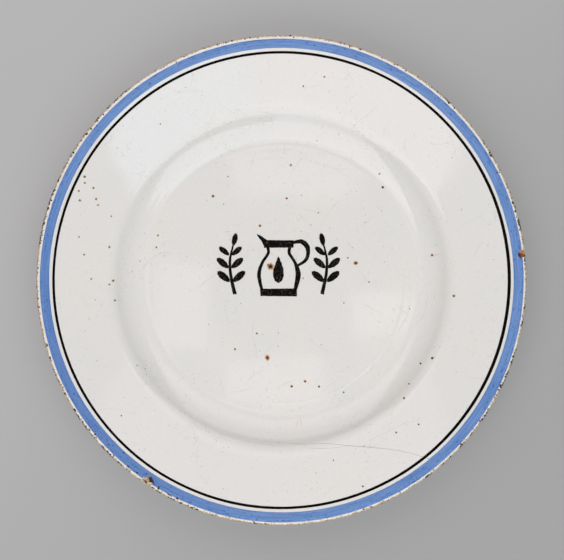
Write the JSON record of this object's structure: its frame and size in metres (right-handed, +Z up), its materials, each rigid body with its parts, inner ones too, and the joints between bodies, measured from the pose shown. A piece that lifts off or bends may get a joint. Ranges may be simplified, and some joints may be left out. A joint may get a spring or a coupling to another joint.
{
  "type": "kosher dairy plate",
  "caption": "Round earthenware dinner plate with a shallow well, a sloping flange, a foot ring, white glaze, and an enamel band and line on the rim.",
  "frame": {"origin": "centre of the foot ring, in the plane that the plate stands on", "axes": "+Z up along the plate's axis, out of the well; +Y towards the top of the picture and +X to its right"},
  "size_m": [0.245, 0.245, 0.0237],
  "materials": {
    "clay": "matte",
    "white_glaze": "gloss",
    "blue_enamel": "satin",
    "black_enamel": "satin"
  },
  "bodies": {
    "root": {"clay_body": "clay", "face_glaze": "white_glaze", "back_glaze": "white_glaze", "base_glaze": "white_glaze", "blue_rim_band": "blue_enamel", "black_rim_line": "black_enamel"}
  },
  "joints": []
}
